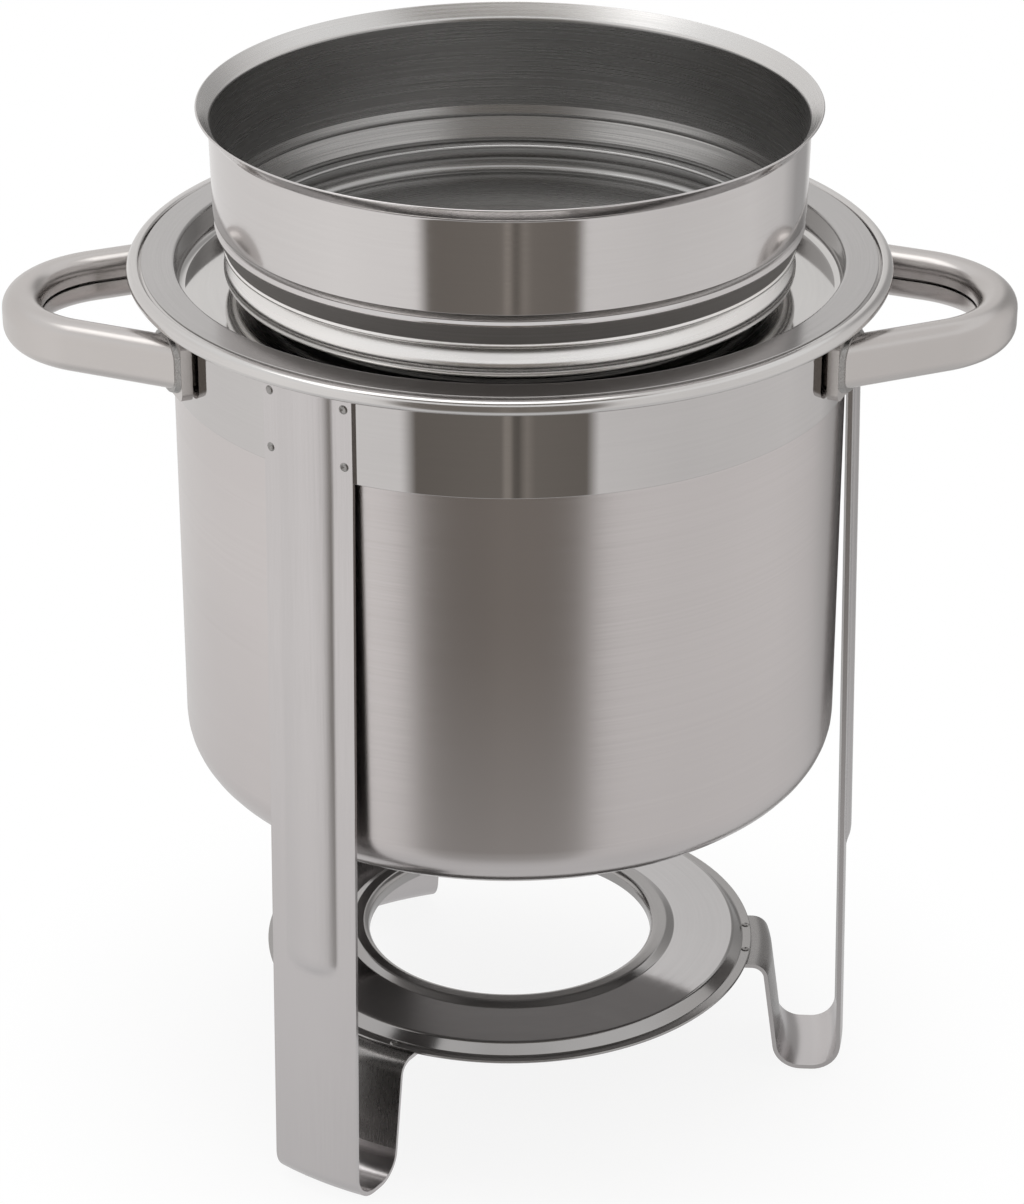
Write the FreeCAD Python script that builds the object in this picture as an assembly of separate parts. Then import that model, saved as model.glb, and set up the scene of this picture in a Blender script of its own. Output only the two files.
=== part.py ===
import FreeCAD, Part
import math
import os

# Soup kettle on a three-legged stand.
# The origin is on the kettle's axis at floor level, +Z up, -Y to the front. Millimetres.

# Kettle: a deep drawn vessel hung by its rolled rim
kettle_radius = 133.0
kettle_depth = 216.5
kettle_corner = 22.0
kettle_sheet = 0.8
rim_overhang = 17.0
rim_bend = 1.4
rim_crease_bend = 0.6
rim_rise_width = 1.0
rim_groove_width = 1.6
rim_groove_depth = 1.0
rim_bead_flat = 1.0
rim_roll_radius = 3.0
rim_roll_tail = 1.6

# Tray: a shallow pan whose flat flange lies on the kettle's rim
tray_sheet = 0.7
tray_depth = 12.5
tray_corner = 4.0
tray_bend = 1.3
tray_clearance = 0.5
tray_edge_gap = 0.8

# Food pan: a shallow pan with a flared brim and a stepped foot, on a base disc
pan_sheet = 0.8
pan_gap = 16.1
pan_taper = 0.8
pan_height = 70.4
pan_brim_width = 5.4
pan_brim_height = 5.6
pan_foot_inset = 3.6
pan_foot_corner = 5.6
pan_foot_height = 13.6
pan_bead = 1.2
pan_bead_bend = 0.9
pan_cove_height = 10.4
pan_shoulder_height = 4.0
pan_base_height = 4.5
pan_base_inset = 8.4
pan_base_chamfer = 1.0

# Stand: collar
collar_sheet = 1.0
collar_clearance = 1.2
collar_height = 43.2
collar_lip_inset = 4.0
collar_bend = 1.2

# Stand: fuel ring
ring_height = 51.0
ring_hole_radius = 59.7
ring_sheet = 1.2
ring_lip_width = 6.2
ring_lip_slope = 3.0
ring_lip_rise = 1.9
ring_lip_depth = 5.6
ring_lip_bend = 2.4
ring_flat_width = 25.1
ring_skirt_width = 4.0
ring_skirt_rise = 4.3
ring_rim_width = 4.2
ring_bend = 1.5
burner_space = 93.5

# Stand: legs
leg_names = ("right", "back_left", "front_left")
right_leg_turn = -3.5
leg_sheet = 1.8
leg_width = 40.0
leg_lean = 6.2
leg_top_gap = 2.2
leg_bend_drop = 2.0
foot_depth = 25.4
foot_bend = 11.0
tab_bend = 6.0
tab_step = 7.5
tab_overlap = 8.7
rib_width = 24.0
rib_proud = 2.0
rib_end_height = 114.0

# Handles: loops of flat-sided oval tube welded to plates that stand off the collar on a pressed pad
handle_reach = 64.8
handle_lowering = 1.8
handle_splay = 23.0
tube_width = 15.5
tube_height = 20.0
tube_corner = 7.0
tube_wall = 1.5
tube_seam = 1.2
plate_spacing = 105.2
plate_width = 27.0
plate_height = 25.0
plate_thickness = 4.4
plate_corner = 4.0
plate_stand = 0.6
pad_width = 18.0
pad_height = 15.0

# Welds
spot_radius = 1.8
spot_crown = 1.2
spot_height = 0.4
spot_dimple = 0.3
spot_edge_inset = 3.2
spot_upper_drop = 12.9
spot_lower_rise = 7.2
ring_spot_pitch = 20.0
weld_width = 1.5
weld_height = 1.6

# Largest share of a side that a round corner takes, and how close two places count as one
corner_share = 0.49
touch = 1e-6

# Derived places
origin = FreeCAD.Vector(0, 0, 0)
up = FreeCAD.Vector(0, 0, 1)
outward = FreeCAD.Vector(1, 0, 0)
seat = ring_height + burner_space + kettle_depth
rim_radius = kettle_radius + rim_overhang
crease_radius = rim_radius - rim_roll_radius - rim_bead_flat - rim_rise_width
collar_inner = kettle_radius + collar_clearance
collar_outer = collar_inner + collar_sheet
collar_top = seat - kettle_sheet
collar_bottom = collar_top - collar_height
tray_wall_radius = kettle_radius - kettle_sheet - tray_clearance
tray_floor = seat + tray_sheet - tray_depth
pan_radius = tray_wall_radius - pan_gap
pan_foot_radius = pan_radius - pan_foot_inset
ring_lip_radius = ring_hole_radius + ring_sheet / 2 + ring_lip_width
ring_flat_radius = ring_lip_radius + ring_lip_slope + ring_flat_width
ring_radius = ring_flat_radius + ring_skirt_width + ring_rim_width
leg_face = collar_outer + leg_sheet
leg_top = collar_top - collar_sheet - leg_top_gap
handle_height = (collar_top + collar_bottom) / 2 - handle_lowering
plate_back = collar_outer + plate_stand
plate_face = plate_back + plate_thickness
plate_angle = math.degrees(math.asin(plate_spacing / 2 / plate_face))
plate_outward = FreeCAD.Rotation(up, plate_angle).multVec(outward)
far = 2 * (seat + rim_radius)


def point(radius, height):
    """A place in the half-plane that profiles are drawn in."""
    return FreeCAD.Vector(radius, 0, height)


def left_of(direction):
    """The direction a quarter turn to the left of another in the profile's plane."""
    return FreeCAD.Vector(-direction.z, 0, direction.x)


def unit(vector):
    """A vector of length one."""
    return vector * (1.0 / vector.Length)


def behind(place, normal):
    """A block that fills everything behind a plane."""
    block = Part.makeBox(2 * far, 2 * far, far, FreeCAD.Vector(-far, -far, -far))
    block.Placement = FreeCAD.Placement(place, FreeCAD.Rotation(up, normal))
    return block


def corner_places(before, corner, after, bend, offset):
    """Start, middle and end of a bend on the line that runs at an offset to the left of the path.

    A bend of no radius is a mitre, with one place only.
    """
    way_in = unit(corner - before)
    way_out = unit(after - corner)
    half_turn = way_in.getAngle(way_out) / 2
    if bend == 0:
        return [corner + unit(left_of(way_in) + left_of(way_out)) * (offset / math.cos(half_turn))]
    turns_left = left_of(way_in).dot(way_out) > 0
    centre = corner + unit(way_out - way_in) * (bend / math.cos(half_turn))
    reach = bend * math.tan(half_turn)
    ratio = (bend - offset if turns_left else bend + offset) / bend
    start = centre + (corner - way_in * reach - centre) * ratio
    middle = centre + unit(corner - centre) * (bend * ratio)
    end = centre + (corner + way_out * reach - centre) * ratio
    return [start, middle, end]


def sheet_edges(path, offset):
    """Lines and arcs of one side of a bent sheet, in order along its path."""
    places = [point(radius, height) for radius, height, bend in path]
    last = len(path) - 1
    here = places[0] + left_of(unit(places[1] - places[0])) * offset
    edges = []
    for index in range(1, last + 1):
        if index == last:
            stops = [places[last] + left_of(unit(places[last] - places[last - 1])) * offset]
        else:
            bend = path[index][2]
            stops = corner_places(places[index - 1], places[index], places[index + 1], bend, offset)
        if here.distanceToPoint(stops[0]) > touch:
            edges.append(Part.LineSegment(here, stops[0]).toShape())
        if len(stops) == 3:
            edges.append(Part.Arc(*stops).toShape())
        here = stops[-1]
    return edges


def bent_sheet(path, thickness):
    """Section of a sheet of even thickness whose middle line follows a path.

    Each place of the path is its radius, its height and the bend's radius there.
    """
    left = sheet_edges(path, thickness / 2)
    right = sheet_edges(path, -thickness / 2)
    start = Part.LineSegment(right[0].firstVertex().Point, left[0].firstVertex().Point).toShape()
    end = Part.LineSegment(left[-1].lastVertex().Point, right[-1].lastVertex().Point).toShape()
    return Part.Face(Part.Wire(Part.sortEdges(left + [end] + right + [start])[0]))


def turned(section):
    """A section turned right round the kettle's axis."""
    return section.revolve(origin, up, 360)


def kettle_body():
    """Flat bottom, large corner, straight wall, flat rim, shallow groove and a rolled edge like a bead."""
    half = kettle_sheet / 2
    wall = kettle_radius - half
    bottom = seat - kettle_depth + half
    roll = rim_roll_radius - half
    crown = seat + tray_sheet - half
    path = [
        (0, bottom, 0),
        (wall, bottom, kettle_corner - half),
        (wall, seat - half, rim_bend),
        (crease_radius - rim_groove_width, seat - half, rim_crease_bend),
        (crease_radius, seat - half - rim_groove_depth, rim_crease_bend),
        (crease_radius + rim_rise_width, crown, rim_crease_bend),
        (rim_radius - half, crown, roll),
        (rim_radius - half, crown - 2 * roll, roll),
        (rim_radius - rim_roll_radius - rim_roll_tail, crown - 2 * roll, 0),
    ]
    return turned(bent_sheet(path, kettle_sheet))


def water_tray():
    """Flat polished floor, low wall and a broad flat flange."""
    half = tray_sheet / 2
    wall = tray_wall_radius - half
    path = [
        (0, tray_floor - half, 0),
        (wall, tray_floor - half, tray_corner),
        (wall, seat + half, tray_bend),
        (crease_radius - tray_edge_gap, seat + half, 0),
    ]
    return turned(bent_sheet(path, tray_sheet))


def food_pan():
    """Round-cornered foot with a bead, a cove and shoulder above it, a wall and a flared brim."""
    half = pan_sheet / 2
    bottom = tray_floor + pan_base_height
    foot = pan_foot_radius - half
    wall = pan_radius - half
    bead_height = bottom + pan_foot_height
    cove_top = bead_height + pan_cove_height
    shoulder = cove_top + pan_shoulder_height
    brim = bottom + pan_height - pan_brim_height
    brim_radius = wall + pan_taper
    foot_corner = min(pan_foot_corner, pan_foot_height - 2 * pan_bead)
    bead_bend = min(pan_bead_bend, pan_bead)
    path = [
        (0, bottom + half, 0),
        (foot, bottom + half, foot_corner - half),
        (foot, bead_height - pan_bead, bead_bend),
        (foot + pan_bead / 2, bead_height, bead_bend),
        (foot - pan_bead / 2, bead_height + pan_bead, bead_bend),
        (wall - pan_bead, cove_top, bead_bend),
        (wall, shoulder, bead_bend),
        (brim_radius, brim, pan_brim_height / 2),
        (brim_radius + pan_brim_width - half, brim + pan_brim_height, 0),
    ]
    return turned(bent_sheet(path, pan_sheet))


def food_pan_base():
    """Thick disc bonded under the pan, chamfered round its foot."""
    radius = pan_foot_radius - pan_foot_corner - pan_base_inset
    disc = Part.makeCylinder(radius, pan_base_height, point(0, tray_floor))
    lower_edge = [edge for edge in disc.Edges if edge.BoundBox.ZMax < tray_floor + pan_base_chamfer]
    return disc.makeChamfer(pan_base_chamfer, lower_edge)


def stand_collar():
    """Cylindrical band with its top edge turned out as the kettle's seat."""
    half = collar_sheet / 2
    path = [
        (collar_inner + half, collar_bottom, 0),
        (collar_inner + half, collar_top - half, collar_bend),
        (crease_radius - collar_lip_inset, collar_top - half, 0),
    ]
    return turned(bent_sheet(path, collar_sheet))


def fuel_ring():
    """Dished annular plate: turned-down lip at the hole, flat seat, short skirt and a flat rim."""
    half = ring_sheet / 2
    rim = ring_height + half
    flat = rim + ring_skirt_rise
    lip = flat + ring_lip_rise
    hole = ring_hole_radius + half
    path = [
        (hole, lip - ring_lip_depth, 0),
        (hole, lip, ring_lip_bend),
        (ring_lip_radius, lip, ring_bend),
        (ring_lip_radius + ring_lip_slope, flat, ring_bend),
        (ring_flat_radius, flat, ring_bend),
        (ring_flat_radius + ring_skirt_width, rim, ring_bend),
        (ring_radius, rim, 0),
    ]
    return turned(bent_sheet(path, ring_sheet))


def leg_path():
    """Middle line of a leg: down the collar, out to the foot, back up and in under the ring."""
    half = leg_sheet / 2
    foot = collar_outer + half + leg_lean
    return [
        (collar_outer + half, leg_top, 0),
        (collar_outer + half, collar_bottom - leg_bend_drop, 0),
        (foot, half, foot_bend),
        (foot - foot_depth, half, foot_bend),
        (ring_radius + tab_step, ring_height - half, tab_bend),
        (ring_radius - tab_overlap, ring_height - half, 0),
    ]


def rib_bar(radius, axis):
    """Round-ended bar along the rib's axis: upright at the collar, then leaning with the leg."""
    start, bend, end = axis
    lean = unit(end - bend)
    below = behind(bend, unit(up - lean))
    upright = Part.makeCylinder(radius, start.z - bend.z + radius, bend - up * radius)
    leaning = Part.makeCylinder(radius, bend.distanceToPoint(end) + radius, bend - lean * radius, lean)
    end_cap = Part.makeSphere(radius, end, lean, 0, 90, 360)
    return upright.cut(below).fuse(leaning.common(below)).fuse(end_cap)


def leg():
    """One leg along +X: a bent strip with a pressed rib, hollow behind, that ends round above the foot."""
    path = leg_path()
    half_sector = 2 * math.degrees(math.asin(leg_width / 2 / path[-1][0]))
    strip = bent_sheet(path, leg_sheet).revolve(origin, up, 2 * half_sector)
    strip.rotate(origin, up, -half_sector)
    slab = Part.makeBox(far, leg_width, leg_top, FreeCAD.Vector(0, -leg_width / 2, 0))
    sagitta = leg_face - math.sqrt(leg_face ** 2 - (rib_width / 2) ** 2)
    rise = rib_proud + sagitta
    rib_radius = (rise ** 2 + (rib_width / 2) ** 2) / (2 * rise)
    top, knee, foot = [point(radius, height) for radius, height, bend in path[:3]]
    lean = unit(foot - knee)
    rib_end = knee + lean * ((knee.z - rib_end_height) / -lean.z)
    shift = outward * (leg_sheet / 2 + rib_proud - rib_radius)
    axis = [top + shift, knee + shift, rib_end + shift]
    outside = rib_bar(rib_radius, axis)
    inside = rib_bar(rib_radius - leg_sheet, axis)
    back = outward * (-leg_sheet / 2)
    core_path = [point(0, leg_top), top + back, knee + back, foot + back, point(0, foot.z)]
    core = turned(Part.Face(Part.makePolygon(core_path + core_path[:1])))
    return strip.common(slab).fuse(outside.cut(core).common(slab)).cut(inside).removeSplitter()


def at_leg(shape, index):
    """A copy of a shape made along +X, turned to one of the legs."""
    copy = shape.copy()
    copy.rotate(origin, up, right_leg_turn + index * 360.0 / len(leg_names))
    return copy


def spot(place, direction, sunk):
    """Button of a spot weld with a dimple in its crown, its foot sunk below the place."""
    section = [
        point(0, -sunk),
        point(spot_radius, -sunk),
        point(spot_radius, 0),
        point(spot_crown, spot_height),
        point(0, spot_height - spot_dimple),
    ]
    button = turned(Part.Face(Part.makePolygon(section + section[:1])))
    button.Placement = FreeCAD.Placement(place, FreeCAD.Rotation(up, direction))
    return button


def leg_welds(leg_shape):
    """Four spot welds through a leg's edges into the collar."""
    half_angle = math.degrees(math.asin((leg_width / 2 - spot_edge_inset) / leg_face))
    spots = []
    for side in (-1, 1):
        for height in (collar_top - spot_upper_drop, collar_bottom + spot_lower_rise):
            nugget = spot(point(leg_face, height), outward, spot_height)
            nugget.rotate(origin, up, side * half_angle)
            spots.append(nugget.cut(leg_shape))
    return Part.makeCompound(spots)


def ring_welds():
    """Two spot welds through the ring's rim into each leg's tab."""
    place = point(ring_radius - ring_rim_width / 2, ring_height + ring_sheet)
    half_angle = math.degrees(math.asin(ring_spot_pitch / 2 / place.x))
    nugget = spot(place, up, 0)
    spots = []
    for index in range(len(leg_names)):
        for side in (-1, 1):
            turned_spot = at_leg(nugget, index)
            turned_spot.rotate(origin, up, side * half_angle)
            spots.append(turned_spot)
    return Part.makeCompound(spots)


def rounded_rectangle(width, height, radius):
    """Upright flat-sided oval about the origin in the plane of X and Z."""
    depth = min(width, height)
    box = Part.makeBox(width, depth, height, FreeCAD.Vector(-width / 2, 0, -height / 2))
    corners = [edge for edge in box.Edges if edge.BoundBox.YLength > depth / 2]
    rounded = box.makeFillet(min(radius, corner_share * depth), corners)
    return [face for face in rounded.Faces if face.BoundBox.YMax < depth / 2][0]


def tube_section():
    """Section of the handle's tube: an oval ring, open along a seam on its inner side."""
    ring = rounded_rectangle(tube_width, tube_height, tube_corner)
    bore_width = tube_width - 2 * tube_wall
    bore_height = tube_height - 2 * tube_wall
    bore = rounded_rectangle(bore_width, bore_height, tube_corner - tube_wall)
    seam_corner = point(-(tube_width + tube_wall) / 2, -tube_seam / 2)
    front = FreeCAD.Vector(0, -1, 0)
    seam = Part.makePlane(2 * tube_wall, tube_seam, seam_corner, front, outward)
    return ring.cut(bore).cut(seam).Faces[0]


def handle_plan():
    """Middle of the bow and the places where the back arm leaves the bow and meets its plate."""
    splay = math.radians(handle_splay)
    arm_end = plate_outward * plate_face
    normal = FreeCAD.Vector(math.sin(splay), math.cos(splay), 0)
    reach = collar_outer + handle_reach - tube_width / 2
    middle = outward * ((reach - normal.dot(arm_end)) / (1 - math.sin(splay)))
    arm_start = middle + normal * (reach - middle.x)
    return middle, arm_start, arm_end


def placed_section(section):
    """A section set square to the back arm where it leaves the bow."""
    arm_start = handle_plan()[1]
    placed = section.copy()
    placed.rotate(origin, up, 90 - handle_splay)
    placed.translate(arm_start + up * handle_height)
    return placed


def arm_of(section):
    """The back arm: a placed section drawn from the bow's end right through the plate."""
    arm_start, arm_end = handle_plan()[1:]
    run = arm_end - arm_start
    return section.extrude(run + unit(run) * tube_height)


def mirrored(shape):
    """The front half of what is drawn at the back of the right handle."""
    return shape.mirror(origin, FreeCAD.Vector(0, 1, 0))


def handle():
    """The right handle: two arms that close in towards a round bow."""
    section = placed_section(tube_section())
    arm = arm_of(section).cut(behind(plate_outward * plate_face, plate_outward))
    bow = section.revolve(handle_plan()[0], up, 2 * handle_splay - 180)
    return bow.fuse(arm).fuse(mirrored(arm)).removeSplitter()


def handle_welds():
    """Bead round each end of the right handle, where it stands on its plate."""
    tube = rounded_rectangle(tube_width, tube_height, tube_corner)
    bead_width = tube_width + 2 * weld_width
    bead_height = tube_height + 2 * weld_width
    outline = rounded_rectangle(bead_width, bead_height, tube_corner + weld_width)
    bead = arm_of(placed_section(outline.cut(tube).Faces[0]))
    bead = bead.cut(behind(plate_outward * plate_face, plate_outward))
    bead = bead.common(behind(plate_outward * (plate_face + weld_height), plate_outward))
    return Part.makeCompound([bead, mirrored(bead)])


def handle_plate():
    """Flat plate with round corners behind the back arm, its pressed pad shaped to the collar."""
    plate = Part.makeBox(plate_thickness, plate_width, plate_height)
    corners = [edge for edge in plate.Edges if edge.BoundBox.XLength > plate_thickness / 2]
    plate = plate.makeFillet(plate_corner, corners)
    plate.translate(FreeCAD.Vector(plate_back, -plate_width / 2, -plate_height / 2))
    pad_corner = FreeCAD.Vector(kettle_radius, -pad_width / 2, -pad_height / 2)
    pad = Part.makeBox(plate_back - kettle_radius, pad_width, pad_height, pad_corner)
    plate = plate.fuse(pad)
    plate.translate(up * handle_height)
    plate.rotate(origin, up, plate_angle)
    return plate.cut(Part.makeCylinder(collar_outer, seat)).removeSplitter()


def half_turned(shape):
    """The left handle's copy of what is drawn on the right."""
    copy = shape.copy()
    copy.rotate(origin, up, 180)
    return copy


def assembly():
    """Every node of the kettle with its shape."""
    nodes = {
        "kettle_body": kettle_body(),
        "water_tray": water_tray(),
        "food_pan": food_pan(),
        "food_pan_base": food_pan_base(),
        "stand_collar": stand_collar(),
        "fuel_ring": fuel_ring(),
        "ring_welds": ring_welds(),
    }
    one_leg = leg()
    one_leg_welds = leg_welds(one_leg)
    for index, name in enumerate(leg_names):
        nodes["leg_" + name] = at_leg(one_leg, index)
        nodes["leg_welds_" + name] = at_leg(one_leg_welds, index)
    nodes["handle_right"] = handle()
    nodes["handle_left"] = half_turned(nodes["handle_right"])
    nodes["handle_welds_right"] = handle_welds()
    nodes["handle_welds_left"] = half_turned(nodes["handle_welds_right"])
    back_plate = handle_plate()
    nodes["handle_plate_right_back"] = back_plate
    nodes["handle_plate_right_front"] = mirrored(back_plate)
    nodes["handle_plate_left_front"] = half_turned(back_plate)
    nodes["handle_plate_left_back"] = half_turned(mirrored(back_plate))
    return nodes


os.makedirs("parts", exist_ok=True)
for node, shape in assembly().items():
    shape.exportStep(os.path.join("parts", node + ".step"))
    state = "valid" if shape.isValid() else "not valid"
    print(node, state, len(shape.Solids), "solids", round(shape.Volume), "mm3")
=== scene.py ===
import logging
import math
from dataclasses import dataclass
from enum import Enum, IntEnum
from typing import Callable, Sequence

import bmesh
import bpy
from mathutils import Matrix, Vector


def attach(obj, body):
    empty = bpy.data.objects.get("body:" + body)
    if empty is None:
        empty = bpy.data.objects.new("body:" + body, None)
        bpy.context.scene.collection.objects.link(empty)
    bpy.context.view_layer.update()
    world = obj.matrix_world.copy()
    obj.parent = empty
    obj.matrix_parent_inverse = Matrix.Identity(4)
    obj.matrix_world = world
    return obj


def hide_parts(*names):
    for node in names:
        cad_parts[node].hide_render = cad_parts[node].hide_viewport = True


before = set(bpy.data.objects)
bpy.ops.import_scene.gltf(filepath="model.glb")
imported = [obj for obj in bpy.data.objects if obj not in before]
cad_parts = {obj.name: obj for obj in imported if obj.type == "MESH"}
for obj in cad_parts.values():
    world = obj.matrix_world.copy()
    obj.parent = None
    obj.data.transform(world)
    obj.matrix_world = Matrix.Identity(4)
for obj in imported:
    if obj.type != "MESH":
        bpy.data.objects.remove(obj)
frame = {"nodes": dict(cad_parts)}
log = logging.getLogger("soup_kettle")

MM = 0.001
UP = Vector((0, 0, 1))
Colour = tuple[float, float, float]
BLACK = (0.0, 0.0, 0.0, 1.0)
WHITE = (1.0, 1.0, 1.0, 1.0)

# Meshing, with lengths in millimetres.
BEND_SEGMENTS = 10
FEWEST_SEGMENTS = 2
SHORTEST_EDGE = 0.15
# The share of a bend's reach that is used, so that two bends never meet.
BEND_SHARE = 0.999
MERGE_REACH = 0.02
# How far a spun sheet's edges are rounded, as a share of its thickness.
EDGE_SHARE = 0.35
EDGE_SEGMENTS = 2
EDGE_ANGLE = math.radians(60)
NORMAL_WEIGHT = 80

# The Mix node's sockets for colours.
MIX_FIRST = 6
MIX_SECOND = 7
MIX_RESULT = 2

# Noise in the finishes, with patches in a metre and the lines' depth in millimetres.
LINE_DETAIL = 3.0
LINE_WEIGHT = 0.6
LINE_DEPTH = 0.02
PATCH_SCALE = 14.0
PATCH_DETAIL = 3.0
PATCH_WEIGHT = 0.5
NOISE_LOW = 0.3
NOISE_HIGH = 0.7
SMUDGE_DULLING = 0.1


class Grain(Enum):
    """The way that a finish's fine lines run."""

    ROUND = "round the kettle's axis"
    UPRIGHT = "up and down"
    FINE = "every way"


class Body(Enum):
    """The bodies of the frame that the pieces ride on."""

    STAND = "stand"
    KETTLE = "kettle"
    TRAY = "tray"
    FOOD_PAN = "food_pan"


class KettleFace(IntEnum):
    """The kettle's finishes on its outside, in the order of their indices."""

    WALL = 0
    RIM = 1
    UNDERSIDE = 2


class TrayFace(IntEnum):
    """The tray's finishes in the order of their indices."""

    FLOOR = 0
    WALL = 1
    FLANGE = 2


class RingFace(IntEnum):
    """The fuel ring's finishes in the order of their indices."""

    DISH = 0
    EDGE = 1


class LegFace(IntEnum):
    """A leg's finishes on its front, in the order of their indices."""

    UPRIGHT = 0
    FOOT = 1


def grey(level: float) -> tuple[float, float, float, float]:
    """A grey of the given brightness as an RGBA colour."""
    return (level, level, level, 1.0)


class NodeGraph:
    """A node tree that is filled one node at a time."""

    def __init__(self, tree: bpy.types.NodeTree) -> None:
        """Empties the node tree of a material or the world."""
        self.tree = tree
        tree.nodes.clear()

    def add(self, kind: str, **settings: object) -> bpy.types.Node:
        """Adds a node.

        Args:
            kind: the node's type name.
            settings: properties to set on it.

        Returns:
            The new node.
        """
        node = self.tree.nodes.new(kind)
        for name, value in settings.items():
            setattr(node, name, value)
        return node

    def join(self, source: object, target: bpy.types.NodeSocket) -> None:
        """Feeds a socket.

        Args:
            source: an output socket, or a plain value for the target itself.
            target: the input socket.
        """
        if isinstance(source, bpy.types.NodeSocket):
            self.tree.links.new(source, target)
        else:
            target.default_value = source

    def sum(self, operation: str, first: object,
            second: object = 0.0) -> bpy.types.NodeSocket:
        """Works out one number from others.

        Args:
            operation: the Math node's operation.
            first: a socket or number.
            second: a socket or number.

        Returns:
            The socket with the result.
        """
        node = self.add("ShaderNodeMath", operation=operation)
        self.join(first, node.inputs[0])
        self.join(second, node.inputs[1])
        return node.outputs[0]

    def spread(self, value: object, low: float, high: float, to_low: float, to_high: float,
               smooth: bool = False) -> bpy.types.NodeSocket:
        """Maps one range of numbers on to another.

        Args:
            value: the socket to map.
            low: where the first range starts.
            high: where it ends.
            to_low: the result at its start.
            to_high: the result at its end.
            smooth: True for an eased step.

        Returns:
            The socket with the result.
        """
        kind = "SMOOTHSTEP" if smooth else "LINEAR"
        node = self.add("ShaderNodeMapRange", interpolation_type=kind)
        for index, source in enumerate((value, low, high, to_low, to_high)):
            self.join(source, node.inputs[index])
        return node.outputs[0]

    def ramp(self, value: object,
             stops: Sequence[tuple[float, Colour]]) -> bpy.types.NodeSocket:
        """Looks a colour up along a ramp.

        Args:
            value: the socket with the place, from 0 to 1.
            stops: each stop's place and colour.

        Returns:
            The colour's socket.
        """
        node = self.add("ShaderNodeValToRGB")
        elements = node.color_ramp.elements
        while len(elements) < len(stops):
            elements.new(1.0)
        for element, (place, colour) in zip(elements, stops):
            element.position = place
            element.color = (*colour, 1.0)
        self.join(value, node.inputs[0])
        return node.outputs[0]

    def mix(self, factor: object, first: object, second: object) -> bpy.types.NodeSocket:
        """Mixes two colours.

        Args:
            factor: share of the second.
            first: a socket or RGBA colour.
            second: a socket or RGBA colour.

        Returns:
            The colour's socket.
        """
        node = self.add("ShaderNodeMix", data_type="RGBA")
        self.join(factor, node.inputs["Factor"])
        self.join(first, node.inputs[MIX_FIRST])
        self.join(second, node.inputs[MIX_SECOND])
        return node.outputs[MIX_RESULT]

    def blend(self, factor: object, first: bpy.types.Node,
              second: bpy.types.Node) -> bpy.types.Node:
        """Mixes two shaders.

        Args:
            factor: share of the second.
            first: a shader's node.
            second: a shader's node.

        Returns:
            The mixing node.
        """
        node = self.add("ShaderNodeMixShader")
        self.join(factor, node.inputs[0])
        self.join(first.outputs[0], node.inputs[1])
        self.join(second.outputs[0], node.inputs[2])
        return node

    def noise(self, vector: object, scale: float, detail: float,
              rough: float) -> bpy.types.NodeSocket:
        """Adds a noise pattern.

        Args:
            vector: the coordinates' socket.
            scale: the pattern's scale.
            detail: its octaves.
            rough: the weight of its finer octaves.

        Returns:
            The factor's socket.
        """
        node = self.add("ShaderNodeTexNoise")
        self.join(vector, node.inputs["Vector"])
        self.join(scale, node.inputs["Scale"])
        self.join(detail, node.inputs["Detail"])
        self.join(rough, node.inputs["Roughness"])
        return node.outputs[0]


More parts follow.
